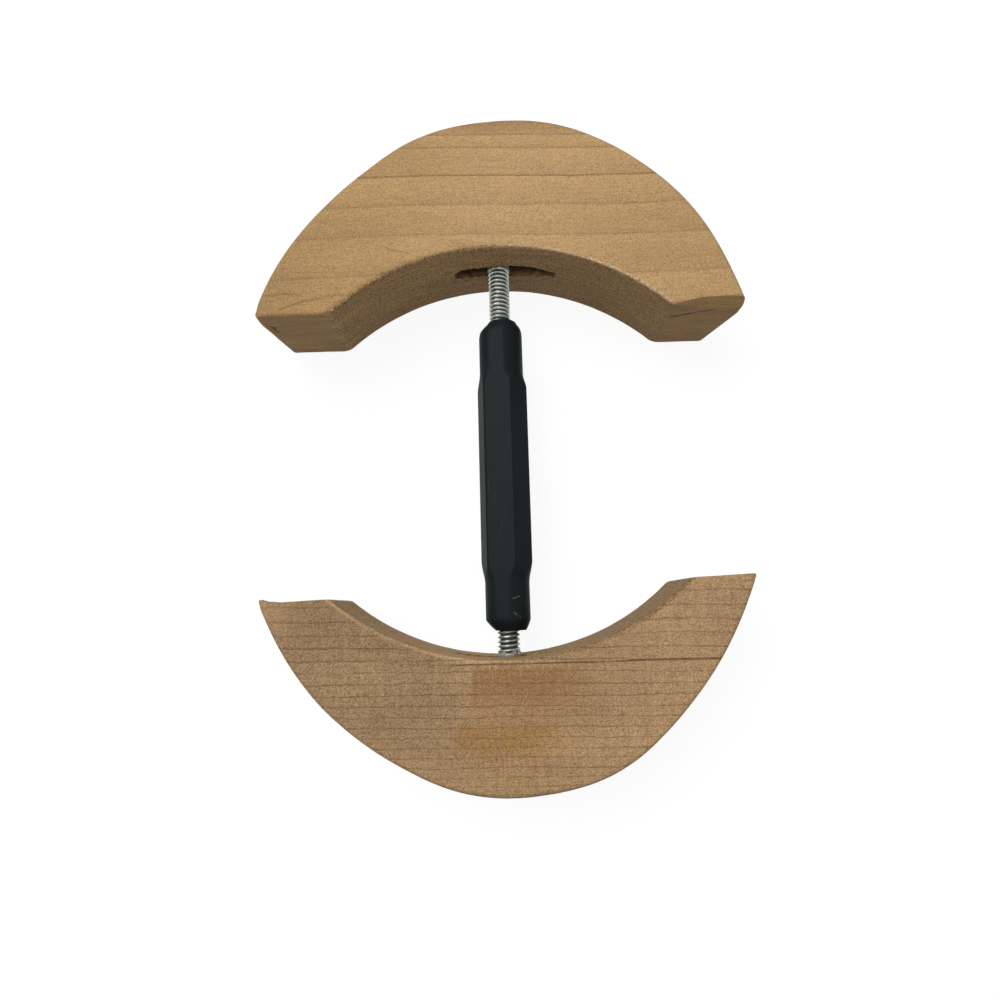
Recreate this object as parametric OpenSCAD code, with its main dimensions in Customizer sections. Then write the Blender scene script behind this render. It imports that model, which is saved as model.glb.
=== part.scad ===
// Hat stretcher: two bevelled wooden crescents, spread by a sleeve that turns on opposed threads.
// X runs across the blocks, Y along the rods with the front block at +Y, and Z up from the table.
// The object lies on the smaller back faces of its blocks, centred over the origin.

/* [Blocks] */
// Thickness of both blocks
block_t = 28.6; // [24:0.1:36]
// Radius of the outline round the nose of a block
nose_r = 61.7; // [57:0.1:66]
// Radius of the flatter outline from the nose to each foot
flank_r = 92; // [84:0.1:104]
// Angle from the middle of the nose to where a flank begins
nose_half_deg = 37; // [32:1:42]
// Depth of the front block, from its feet to its nose
front_depth = 59.7; // [54:0.1:63]
// Depth of the rear block, from its feet to its nose
rear_depth = 53.2; // [48:0.1:58]
// Radius of the hollow between the feet
hollow_r = 72; // [66:0.1:80]
// Depth of the front block's hollow
front_hollow_depth = 19; // [14:0.1:22]
// Depth of the rear block's hollow
rear_hollow_depth = 18.6; // [14:0.1:22]
// Height of the upright band below the front face, where the outside is not bevelled
band_t = 5.5; // [4:0.5:12]
// Slope of the bevelled outside below that band
bevel_deg = 12; // [5:1:20]
// Chamfer that eases the outer edge at the front face
edge_ease = 0.8; // [0.4:0.1:2]

/* [Sleeve] */
// Length of the sleeve
sleeve_l = 91.5; // [80:0.5:100]
// Width of the six-sided grip across its flats
grip_flats = 13.2; // [13.1:0.1:16]
// Turn of the grip about the rods, from a corner pointing along X
grip_turn_deg = 14.5; // [0:0.5:60]
// Diameter of the round collars
collar_d = 12.7; // [11.6:0.1:13]
// Length of the front collar, with its chamfer
front_collar_l = 17; // [10:0.5:20]
// Length of the rear collar, with its chamfer
rear_collar_l = 12; // [10:0.5:20]
// Length over which a collar swells into the grip
swell_l = 8; // [4:0.5:12]
// Length of the chamfer at each end
end_chamfer_l = 4; // [2:0.1:6]
// Diameter of the flat at each end
end_d = 8.8; // [8:0.1:10]

/* [Thread liner] */
// Outside diameter of the threaded tube inside the sleeve
liner_d = 9.6; // [8.6:0.1:10]
// Plastic left beyond each end of the tube
end_lip_l = 3; // [2:0.5:6]

/* [Rods] */
// Diameter of the threaded rods
rod_d = 6.35; // [6:0.05:7]
// Length of each rod inside its block
rod_embed = 24; // [18:0.5:28]
// Space between the rods' ends inside the sleeve
rod_end_gap = 14.1; // [13:0.1:20]
// Bare front rod between the sleeve and its block
front_bare_l = 17.2; // [8:0.1:24]
// Bare rear rod between the sleeve and its block
rear_bare_l = 7.1; // [6.8:0.1:24]
// Chamfer at a rod's ends
rod_chamfer = 0.8; // [0.4:0.1:1.2]

/* [Fixing in the wood] */
// Diameter of the hole that takes a rod
hole_d = 6.9; // [6.6:0.05:7.6]
// Radius of the round cutter that made the slot
slot_cutter_r = 15.8; // [15:0.1:20]
// Depth of the slot on the rod's axis
slot_depth = 10.4; // [9.5:0.1:12]
// Thickness of that cutter at its middle
slot_middle_t = 9.6; // [8:0.1:11]
// Thickness of that cutter at its rim
slot_rim_t = 2; // [1:0.1:4]
// Diameter of the pin across the rod
pin_d = 3.2; // [2.5:0.1:3.4]
// Length of that pin
pin_l = 20; // [14:0.5:20]
// Depth of the pin's axis below the hollow face
pin_depth = 4; // [3.6:0.1:4.2]
// Glue standing proud of the hollow face
glue_proud = 1.6; // [0.5:0.1:3]

/* [Hidden] */
$fn = 96;

// Gap of a running fit, and the wider gap where nothing should rub
run_gap = 0.05;
clear_gap = 0.35;
// Overshoot of a cutting shape past the face that it cuts
over = 1;

// The wood left on the rod's axis, between the hollow and the nose
front_wall = front_depth - front_hollow_depth;
rear_wall = rear_depth - rear_hollow_depth;
overall_l = front_wall + front_bare_l + sleeve_l + rear_bare_l + rear_wall;
// Where the rods leave the hollow faces, and where the sleeve ends
front_face_y = overall_l / 2 - front_wall;
rear_face_y = rear_wall - overall_l / 2;
sleeve_rear_y = rear_face_y + rear_bare_l;
axis_z = block_t / 2;
rod_reach = (front_face_y - rear_face_y - rod_end_gap) / 2;
grip_corner_r = grip_flats / 2 / cos(30);
// From the nose's centre back to the centre of each flank
flank_shift = (flank_r - nose_r) * [sin(nose_half_deg), cos(nose_half_deg)];

wood_front = [0.68, 0.56, 0.40];
wood_rear = [0.61, 0.49, 0.35];
black_plastic = [0.17, 0.19, 0.19];
zinc = [0.62, 0.64, 0.62];
dark_steel = [0.42, 0.43, 0.44];
clear_glue = [0.80, 0.78, 0.70];

// Puts a shape drawn along Z on the rods' axis, with its Z along +Y
module on_axis(y) {
    translate([0, y, axis_z]) rotate([-90, 0, 0]) children();
}

// Places a shape drawn with its hollow face at y = 0 and its nose towards +Y
module at_front() {
    translate([0, front_face_y, 0]) children();
}

module at_rear() {
    translate([0, rear_face_y, 0]) rotate([0, 0, 180]) children();
}

// The outside of a block in section: bevel, upright band and eased front edge
module block_section(r) {
    bevel_in = (block_t - band_t) * tan(bevel_deg);
    polygon([
        [0, 0], [r - bevel_in, 0], [r, block_t - band_t],
        [r, block_t - edge_ease], [r - edge_ease, block_t], [0, block_t]]);
}

// The wedge of a nose, from its centre out past the wood
module nose_wedge() {
    far = 2 * nose_r;
    side = far * sin(nose_half_deg);
    front = far * cos(nose_half_deg);
    translate([0, 0, -over]) linear_extrude(block_t + 2 * over)
        polygon([[0, 0], [side, front], [-side, front]]);
}

// One end of an oval: the lens of two flank rounds, with a smaller round for its nose
module oval_end(nose_y) {
    translate([0, nose_y - nose_r, 0]) {
        difference() {
            intersection() {
                translate([flank_shift.x, -flank_shift.y, 0]) rotate_extrude() block_section(flank_r);
                translate([-flank_shift.x, -flank_shift.y, 0]) rotate_extrude() block_section(flank_r);
            }
            nose_wedge();
        }
        intersection() {
            rotate_extrude() block_section(nose_r);
            nose_wedge();
        }
    }
}

// The round cutter of the slot, thinner towards its rim
module slot_cutter() {
    rotate_extrude() polygon([
        [0, -slot_middle_t / 2], [slot_cutter_r, -slot_rim_t / 2],
        [slot_cutter_r, slot_rim_t / 2], [0, slot_middle_t / 2]]);
}

// A block with its flat feet, its hollow, the rod's hole and the slot for the cross pin
module crescent(depth, hollow_depth) {
    reach = 2 * flank_r;
    difference() {
        oval_end(depth - hollow_depth);
        translate([-reach, -hollow_depth - reach, -over]) cube([2 * reach, reach, block_t + 2 * over]);
        translate([0, -hollow_r, -over]) cylinder(r = hollow_r, h = block_t + 2 * over, $fn = 180);
        on_axis(-hollow_depth) cylinder(d = hole_d, h = hollow_depth + rod_embed);
        translate([0, slot_depth - slot_cutter_r, axis_z]) slot_cutter();
    }
}

// A rod with chamfered ends and a cross hole for its pin
module rod() {
    length = rod_reach + rod_embed;
    r = rod_d / 2;
    difference() {
        on_axis(-rod_reach) rotate_extrude() polygon([
            [0, 0], [r - rod_chamfer, 0], [r, rod_chamfer],
            [r, length - rod_chamfer], [r - rod_chamfer, length], [0, length]]);
        pin_shape(rod_d + 2 * over);
    }
}

module pin_shape(length) {
    translate([0, pin_depth, axis_z]) rotate([0, 90, 0]) cylinder(d = pin_d, h = length, center = true);
}

// The glue that fills the gap round a rod in its hole
module glue_sheath() {
    difference() {
        on_axis(-glue_proud) cylinder(d = hole_d, h = rod_embed + glue_proud);
        on_axis(-glue_proud - over) cylinder(d = rod_d, h = rod_embed + glue_proud + 2 * over);
        pin_shape(hole_d + 2 * over);
    }
}

module front_block() {
    color(wood_front) at_front() crescent(front_depth, front_hollow_depth);
}

module rear_block() {
    color(wood_rear) at_rear() crescent(rear_depth, rear_hollow_depth);
}

module turnbuckle_sleeve() {
    end_r = end_d / 2;
    collar_r = collar_d / 2;
    swell_r = grip_corner_r + clear_gap;
    grip_from = rear_collar_l + swell_l;
    grip_to = sleeve_l - front_collar_l - swell_l;
    color(black_plastic) on_axis(sleeve_rear_y) difference() {
        intersection() {
            rotate([0, 0, -grip_turn_deg]) cylinder(r = grip_corner_r, h = sleeve_l, $fn = 6);
            rotate_extrude() polygon([
                [0, 0], [end_r, 0], [collar_r, end_chamfer_l], [collar_r, rear_collar_l],
                [swell_r, grip_from], [swell_r, grip_to],
                [collar_r, sleeve_l - front_collar_l], [collar_r, sleeve_l - end_chamfer_l],
                [end_r, sleeve_l], [0, sleeve_l]]);
        }
        translate([0, 0, -over]) cylinder(d = rod_d + 2 * clear_gap, h = sleeve_l + 2 * over);
        translate([0, 0, end_lip_l]) cylinder(d = liner_d + 2 * run_gap, h = sleeve_l - 2 * end_lip_l);
    }
}

module thread_liner() {
    length = sleeve_l - 2 * end_lip_l - 2 * run_gap;
    color(dark_steel) on_axis(sleeve_rear_y + end_lip_l + run_gap) difference() {
        cylinder(d = liner_d, h = length);
        translate([0, 0, -over]) cylinder(d = rod_d + 2 * run_gap, h = length + 2 * over);
    }
}

module front_rod() {
    color(zinc) at_front() rod();
}

module rear_rod() {
    color(zinc) at_rear() rod();
}

module front_cross_pin() {
    color(dark_steel) at_front() pin_shape(pin_l);
}

module rear_cross_pin() {
    color(dark_steel) at_rear() pin_shape(pin_l);
}

module front_glue() {
    color(clear_glue) at_front() glue_sheath();
}

module rear_glue() {
    color(clear_glue) at_rear() glue_sheath();
}

front_block();
rear_block();
turnbuckle_sleeve();
thread_liner();
front_rod();
rear_rod();
front_cross_pin();
rear_cross_pin();
front_glue();
rear_glue();
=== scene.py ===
import bmesh
import bpy
import numpy as np
from mathutils import Matrix, Vector


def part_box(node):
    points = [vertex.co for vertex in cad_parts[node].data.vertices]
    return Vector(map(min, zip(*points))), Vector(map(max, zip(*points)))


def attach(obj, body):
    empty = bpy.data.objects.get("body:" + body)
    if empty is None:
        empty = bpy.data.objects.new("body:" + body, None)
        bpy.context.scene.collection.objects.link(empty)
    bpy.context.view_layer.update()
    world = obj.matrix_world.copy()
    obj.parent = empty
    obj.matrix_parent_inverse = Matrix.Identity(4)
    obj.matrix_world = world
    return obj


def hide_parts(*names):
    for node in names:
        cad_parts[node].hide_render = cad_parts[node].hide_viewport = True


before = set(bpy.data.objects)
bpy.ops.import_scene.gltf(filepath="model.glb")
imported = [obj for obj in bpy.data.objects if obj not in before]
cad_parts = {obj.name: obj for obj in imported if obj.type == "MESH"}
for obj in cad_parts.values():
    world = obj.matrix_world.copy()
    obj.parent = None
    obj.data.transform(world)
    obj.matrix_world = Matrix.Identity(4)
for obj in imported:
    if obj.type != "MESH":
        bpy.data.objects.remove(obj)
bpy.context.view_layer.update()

# Shapes are worked out in millimetres and put into the meshes in metres.
MM = 0.001

# Wooden blocks: the three-centre oval outline, the hollow, the bevel and the eased edges
NOSE_R = 61.7
FLANK_R = 92.0
NOSE_HALF = np.radians(37)
HOLLOW_R = 72.0
FRONT_HOLLOW_DEPTH = 19.0
REAR_HOLLOW_DEPTH = 18.6
BAND_T = 5.5
BEVEL = np.radians(12)
BACK_EDGE = 0.7
OUTER_EDGE = 0.5
# The upright band grows taller towards the feet
FOOT_BAND_RISE = 1.5
# The outer edge is rubbed further across the face than down the side
RIM_SPREAD = 2.8
# How far the hollow's front edge is torn back, and the depth over which that fades
TEAR, TEAR_FADE = 0.42, 0.9
# The hollow's wall has closer rows over this height below the front face
TORN_T = 4.0

# How far the saw strayed outward along each outline: cosine waves, the height of each by its half turns
FRONT_STRAY = {0: 0.25, 1: -1.1, 2: 0.2, 3: 0.6, 5: 0.4, 7: 0.2, 8: -0.2}
REAR_STRAY = {0: -0.5, 1: 0.4, 2: -0.5, 3: 0.5, 7: -0.2, 8: -0.1}

# Knocks and burrs at the feet: where each is, how far it reaches, its push and its roughness
FRONT_DENTS = (
    ((-69.5, 36.0, 28.6), (3.0, 4.0, 3.5), (0.25, 0.0, -0.25), 0.10),
    ((-67.0, 35.9, 17.5), (4.5, 5.0, 6.0), (0.1, 0.1, 0.0), 0.05),
    ((-67.4, 35.9, 19.8), (1.8, 2.2, 1.6), (0.6, 0.6, -0.3), 0.15))
REAR_DENTS = (
    ((-66.6, -42.4, 28.6), (2.2, 1.6, 6.0), (0.0, 0.95, 0.0), 0.25),
    ((-63.6, -42.4, 28.6), (1.7, 1.4, 4.0), (0.0, 0.40, 0.0), 0.25))
# Worn corners: a place on the worn plane, its normal, and where along X the wear starts and is full
FRONT_FLATS = (((60.0, 38.1, 28.6), (0.0, -0.85, 0.53), 43.0, 58.5),)
# Where the wear starts, the plane still stands off by this much
WEAR_LIFT = 2.5

# The slot for the cross pin and the hole for the rod
SLOT_CUTTER_R = 15.8
SLOT_DEPTH = 10.4
SLOT_MIDDLE_T = 9.6
SLOT_RIM_T = 2.0
# Wood broken out of both sides of the slot at its left end, and of its upper side at the right end
SLOT_LEFT_BREAK = 0.9
SLOT_RIGHT_BREAK = 0.6
HOLE_R = 3.45
ROD_EMBED = 24.0
# The hole's cutter starts outside its mouth and ends in a drill point
HOLE_LEAD = 4.0
DRILL_POINT_L = 1.2

# Levels of the front block's growth lines: Y on its front face, and lower with depth below it
FRONT_RINGS = (-4.0, 6.5, 17.0, 26.5, 46.6, 58.5, 68.15, 77.35, 86.3, 90.3)
# Marks along X and Y on the front block's face, and along X and Z on its feet
FLAME_LINES = (
    ((-66.5, 42.1), (-61.0, 42.5)), ((-61.0, 42.5), (-56.5, 41.8)),
    ((-62.5, 37.9), (-56.0, 40.1)), ((-56.0, 40.1), (-44.4, 41.9)))
SPLIT_START, SPLIT_BEND, SPLIT_END = (-33.1, 56.2), (-30.5, 54.9), (-25.3, 53.8)
CRACK_START, CRACK_BEND, CRACK_END = (50.6, 20.2), (55.0, 21.9), (61.8, 24.3)
CHIP_START, CHIP_END = (-67.9, 21.4), (-66.4, 17.0)
# The rear block's one dark line, and two scuffs on the sleeve's rear collar, along X and Y
DARK_START, DARK_END = (-28.0, -62.0), (57.0, -62.1)
SCUFFS = (((2.0, -48.2), (3.9, -49.9)), ((2.0, -44.5), (3.6, -44.0)))

# Black sleeve
GRIP_FLATS = 13.2
GRIP_TURN = np.radians(14.5)
COLLAR_R = 6.35
SWELL_L = 8.0
FRONT_COLLAR_L = 17.0
REAR_COLLAR_L = 12.0
SLEEVE_BORE_R = 3.525
LINER_POCKET_R = 4.85
END_LIP_L = 3.0
# Lengths over which the ends close
REAR_END_L, FRONT_END_L = 3.0, 3.6
# A shallow groove near the front end: its distance from it, half width and depth
GROOVE_AT, GROOVE_HALF_W, GROOVE_DEPTH = 1.05, 0.35, 0.22

# Rolled thread, 20 turns to the inch
THREAD_PITCH = 25.4 / 20
THREAD_CREST_R = 3.175
THREAD_ROOT_R = 2.42
ROD_CHAMFER = 0.8
LEFT_HAND, RIGHT_HAND = 1, -1

# Glue and pins
GLUE_INNER_R = 2.75
GLUE_GAP = 0.02
PIN_END_R = 0.5

# The photograph's viewpoint, from a pinhole camera fitted to the blocks' outlines
CAMERA_AT = np.array([-0.872, -47.646, 212.024])
CAMERA_FORWARD = Vector((-0.0029, 0.1559, -0.9878))
CAMERA_UP = Vector((0.0278, 0.9874, 0.1558))
CAMERA_LENS = 24.696
SENSOR_W = 36.0
CLIP_START_M = 0.01

# Mesh making: points nearer than this merge, and edges sharper than this are creases
WELD = 1e-4
CREASE = np.radians(35)
# Waves in one sum of ripples
RIPPLE_WAVES = 24
# The floor's half width, and how far it lies below the table's plane
FLOOR_HALF_W = 2000.0
FLOOR_DROP = 0.15


def box_mm(node):
    """Lowest and highest corner of a CAD node, in millimetres."""
    low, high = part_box(node)
    return np.array(low) / MM, np.array(high) / MM


def block_places(node, side, hollow_depth, lean_deg, shift, **made):
    """Sizes of a block measured outward from its feet; side is 1 for the front block and -1 for the rear.

    lean_deg and shift are its turn about the hole's mouth and its shift across the rod. The rest is kept as
    it is given: the waves along the outline, the slot's shift across, the share of the bevel that is left at
    the left foot, the roundings of the hollow's front edge and of the feet, the side of the rod where that
    edge is torn (1 for +X), the dents and worn corners, the thread's hand, the glue's height and the seed.
    """
    low, high = box_mm(node)
    foot, nose = (low[1], high[1]) if side > 0 else (-high[1], -low[1])
    lean = np.radians(lean_deg)
    mouth = side * (foot + hollow_depth)
    centre = (shift + side * HOLLOW_R * np.sin(lean), mouth - side * HOLLOW_R * np.cos(lean))
    return {"side": side, "foot": foot, "depth": nose - foot, "hollow": hollow_depth, "thick": high[2],
            "lean": lean, "shift": shift, "mouth": mouth, "hollow_centre": centre, **made}


FRONT = block_places(
    "front_block", 1, FRONT_HOLLOW_DEPTH, lean_deg=0.05, shift=0.10, stray=FRONT_STRAY, slot_x=1.8,
    left_bevel=0.58, hollow_edge=1.4, foot_edge=1.1, torn_way=-1, dents=FRONT_DENTS, flats=FRONT_FLATS,
    hand=LEFT_HAND, glue_proud=0.6, seed=11)
REAR = block_places(
    "rear_block", -1, REAR_HOLLOW_DEPTH, lean_deg=1.91, shift=1.35, stray=REAR_STRAY, slot_x=0.0,
    left_bevel=1.0, hollow_edge=0.7, foot_edge=0.7, torn_way=1, dents=REAR_DENTS, flats=(),
    hand=RIGHT_HAND, glue_proud=1.6, seed=47)
BLOCK_T = FRONT["thick"]
AXIS_Z = BLOCK_T / 2
SLEEVE_LOW, SLEEVE_HIGH = (corner[1] for corner in box_mm("turnbuckle_sleeve"))


def ripple(points, length, seed):
    """Smooth noise of about -1 to 1: a sum of sine waves of about that length, in seeded directions."""
    rng = np.random.default_rng(seed)
    ways = rng.normal(size=(RIPPLE_WAVES, points.shape[-1]))
    steps = 2 * np.pi / length * rng.uniform(0.6, 1.6, (RIPPLE_WAVES, 1))
    ways *= steps / np.linalg.norm(ways, axis=1, keepdims=True)
    shifts = rng.uniform(0, 2 * np.pi, RIPPLE_WAVES)
    return np.sin(points @ ways.T + shifts).sum(-1) / np.sqrt(RIPPLE_WAVES)


def smooth_step(value, low, high):
    """Rises from 0 at low to 1 at high along 3t^2 - 2t^3."""
    t = np.clip((value - low) / (high - low), 0, 1)
    return t * t * (3 - 2 * t)


def rounding(height, radius):
    """How far an eased edge stands back at a height from its corner: a quarter circle of that radius."""
    left = np.clip(1 - height / radius, 0, 1)
    return radius * (1 - np.sqrt(1 - left**2))


def arc_rows(radius, count):
    """Heights up a quarter circle of that radius, at equal angles, without its top end."""
    return radius * (1 - np.cos(np.linspace(0, np.pi / 2, count, endpoint=False)))


def grid_faces(rows, cols, wrap_rows=False, wrap_cols=False):
    """Quads of a grid of vertices numbered row by row; a wrapped way joins its last line to its first."""
    i, j = np.meshgrid(
        np.arange(rows if wrap_rows else rows - 1),
        np.arange(cols if wrap_cols else cols - 1), indexing="ij")
    up, over = (i + 1) % rows, (j + 1) % cols
    return np.stack([i * cols + j, i * cols + over, up * cols + over, up * cols + j], -1).reshape(-1, 4)


def join_grids(*grids):
    """Points and faces of several open grids, one after another."""
    points, faces, start = [], [], 0
    for grid in grids:
        rows, cols = grid.shape[:2]
        points.append(grid.reshape(-1, 3))
        faces.append(grid_faces(rows, cols) + start)
        start += rows * cols
    return np.concatenate(points), np.concatenate(faces)


def new_object(name, points, faces):
    """A closed mesh object from points in millimetres: doubles merged, holes capped, faces outward."""
    mesh = bpy.data.meshes.new(name)
    mesh.from_pydata((points * MM).tolist(), [], faces.tolist())
    work = bmesh.new()
    work.from_mesh(mesh)
    bmesh.ops.remove_doubles(work, verts=work.verts, dist=WELD * MM)
    bmesh.ops.dissolve_degenerate(work, edges=work.edges, dist=WELD * MM)
    bmesh.ops.holes_fill(work, edges=[edge for edge in work.edges if edge.is_boundary])
    bmesh.ops.recalc_face_normals(work, faces=work.faces)
    work.to_mesh(mesh)
    work.free()
    made = bpy.data.objects.new(name, mesh)
    bpy.context.scene.collection.objects.link(made)
    return made


def dress(piece, material, body, node):
    """Shades a piece smooth between its creases, sets its finish and its body, and hides the CAD node it
    replaces.
    """
    mesh = piece.data
    mesh.polygons.foreach_set("use_smooth", np.ones(len(mesh.polygons), bool))
    mesh.set_sharp_from_angle(angle=CREASE)
    mesh.materials.clear()
    mesh.materials.append(material)
    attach(piece, body)
    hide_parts(node)


def points_of(piece):
    """A piece's vertices and their normals, in millimetres and as unit vectors."""
    mesh = piece.data
    points = np.empty(len(mesh.vertices) * 3, np.float32)
    normals = np.empty_like(points)
    mesh.vertices.foreach_get("co", points)
    mesh.vertex_normals.foreach_get("vector", normals)
    return points.reshape(-1, 3).astype(float) / MM, normals.reshape(-1, 3).astype(float)


def move_points(piece, points):
    """Puts a piece's vertices at points in millimetres."""
    piece.data.vertices.foreach_set("co", (points * MM).astype(np.float32).ravel())
    piece.data.update()


def carve(piece, *cutters):
    """Cuts the closed cutters out of a piece and removes them."""
    for cutter in cutters:
        cut = piece.modifiers.new(cutter.name, "BOOLEAN")
        cut.operation, cut.solver, cut.object = "DIFFERENCE", "EXACT", cutter
    ready = piece.evaluated_get(bpy.context.evaluated_depsgraph_get())
    carved = bpy.data.meshes.new_from_object(ready)
    piece.modifiers.clear()
    piece.data = carved
    for cutter in cutters:
        bpy.data.objects.remove(cutter)


def dent(points, at, reach, push, rough, seed):
    """Pushes the points round a place, unevenly, by 1 - d^2 of the push, with d the share of the reach."""
    share = np.clip(1 - (((points - at) / reach) ** 2).sum(1), 0, 1)
    uneven = 0.9 + rough * ripple(points, 1.5, seed)
    return points + (share * uneven)[:, None] * np.array(push)


def wear_flat(points, at, normal, start, full):
    """Wears a corner back to a plane through a place; the wear grows evenly along X from start to full."""
    normal = np.array(normal) / np.linalg.norm(normal)
    share = np.clip((points[:, 0] - start) / (full - start), 0, 1)
    depth = (points - at) @ normal - WEAR_LIFT * (1 - share)
    return points - np.maximum(depth, 0)[:, None] * normal


def side_rows(thick, finer_from, front_edge):
    """Heights up a block's side, with close rows round both edges and closer ones from finer_from up."""
    return np.concatenate([
        arc_rows(BACK_EDGE, 4), np.linspace(BACK_EDGE, finer_from, 16, endpoint=False),
        np.linspace(finer_from, thick - front_edge, 6, endpoint=False),
        thick - arc_rows(front_edge, 6)[::-1]])[None, :]


def squeeze(z, shrink, thick):
    """Heights drawn in by the shrink from the front, and by a share of it from the back."""
    back_share = 0.4
    return back_share * shrink + z * (1 - (1 + back_share) * shrink / thick)


def outer_wall(block, u, gap, shrink):
    """The outside of a block: u turns a radius about the nose centre, and further on about a flank centre.

    The radius stands back with depth by the bevel, at both edges by a quarter circle or ellipse, and by the
    shrink, and it strays with the saw.
    """
    thick = block["thick"]
    z = side_rows(thick, thick - BAND_T, OUTER_EDGE)
    bevel = np.tan(BEVEL) * (1 - (1 - block["left_bevel"]) * smooth_step(-u, 0.5, 1.0))
    band = BAND_T + FOOT_BAND_RISE * smooth_step(np.abs(u), 0.6, 1.0)
    inset = np.maximum(thick - band - z, 0) * bevel + shrink
    inset = inset + rounding(z, BACK_EDGE) + RIM_SPREAD * rounding(thick - z, OUTER_EDGE)
    inset = inset - sum(
        height * np.cos(half_turns * np.pi / 2 * (u + 1)) for half_turns, height in block["stray"].items())
    nose_y = block["depth"] - NOSE_R
    flank = (FLANK_R - NOSE_R) * np.array([np.sin(NOSE_HALF), np.cos(NOSE_HALF)])
    angle = u * np.arccos((gap - nose_y + flank[1]) / (FLANK_R - inset))
    on_flank = np.abs(angle) > NOSE_HALF
    reach = np.where(on_flank, FLANK_R, NOSE_R) - inset
    return np.stack([
        reach * np.sin(angle) - np.where(on_flank, np.sign(angle) * flank[0], 0),
        nose_y - np.where(on_flank, flank[1], 0) + reach * np.cos(angle),
        squeeze(z, shrink, thick) + 0 * angle], -1)


def hollow_wall(block, u, gap, shrink):
    """The wall of the hollow: u turns its radius. Its front edge is torn, mostly on one side of the rod."""
    thick, hollow_edge, seed = block["thick"], block["hollow_edge"], block["seed"]
    z = side_rows(thick, thick - TORN_T, hollow_edge)
    rough_side = smooth_step(u * block["torn_way"], -0.15, 0.25)
    worn = (0.35 + 0.65 * rough_side) * (1 + 0.3 * ripple(u * 50, 16, seed))[:, None]
    ticks = 0.5 + 0.5 * ripple(u * 50, 1.6, seed + 3) + 0.4 * ripple(u * 50, 5, seed + 4)
    torn = (0.15 + 0.85 * rough_side) * np.clip(ticks, 0, 2)[:, None]
    back = rounding(z, BACK_EDGE) + rounding(thick - z, hollow_edge) * worn
    back = back + TEAR * torn * np.exp((z - thick) / TEAR_FADE)
    radius = HOLLOW_R + back + shrink
    hollow_y = block["hollow"] - HOLLOW_R
    angle = u * np.arccos((gap - hollow_y) / radius)
    return np.stack([
        radius * np.sin(angle), hollow_y + radius * np.cos(angle), squeeze(z, shrink, thick) + 0 * angle], -1)


def weathered(points, normals, block):
    """A block's points, sunk unevenly, dented and worn, then turned about the hole's mouth and shifted."""
    seed = block["seed"]
    uneven = 0.02 + 0.025 * (1 + ripple(points, 22, seed + 1)) + 0.012 * (1 + ripple(points, 5, seed + 2))
    points = points - normals * np.maximum(uneven, 0.02)[:, None]
    for at, reach, push, rough in block["dents"]:
        points = dent(points, at, reach, push, rough, seed + 6)
    for at, normal, start, full in block["flats"]:
        points = wear_flat(points, at, normal, start, full)
    off_y = points[:, 1] - block["mouth"]
    cos, sin = np.cos(block["lean"]), np.sin(block["lean"])
    return np.stack([
        block["shift"] + points[:, 0] * cos - off_y * sin,
        block["mouth"] + points[:, 0] * sin + off_y * cos, points[:, 2]], -1)


def crescent(name, block):
    """A block as a bent brick: each point is a straight blend from the oval outside to the round hollow.

    Along the block, u runs from foot to foot, and one foot plane cuts off both walls. The last rows at each
    foot shrink the section by a quarter circle, so that the foot's own edges are eased.
    """
    main, ends = 320, 5
    foot_edge = block["foot_edge"]
    turn = np.linspace(0, np.pi / 2, ends + 1)[1:]
    gap = foot_edge * (1 - np.sin(turn))
    shrink = foot_edge * (1 - np.cos(turn))
    u = np.concatenate([-np.ones(ends), np.linspace(-1, 1, main), np.ones(ends)])[:, None]
    gap = np.concatenate([gap[::-1], np.full(main, foot_edge), gap])[:, None]
    shrink = np.concatenate([shrink[::-1], np.zeros(main), shrink])[:, None]
    outer = outer_wall(block, u, gap, shrink)
    inner = hollow_wall(block, u, gap, shrink)
    across = np.linspace(0, 1, 30)[:, None]

    def blend(a, b):
        """Straight lines of points from each of a's points to b's."""
        return a[:, None] + (b - a)[:, None] * across

    points, faces = join_grids(
        outer, inner, blend(outer[:, -1], inner[:, -1]), blend(outer[:, 0], inner[:, 0]),
        blend(outer[0], inner[0]), blend(outer[-1], inner[-1]))
    points[:, 1] = block["side"] * (block["foot"] + points[:, 1])
    piece = new_object(name, points, faces)
    move_points(piece, weathered(*points_of(piece), block))
    return piece


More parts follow.
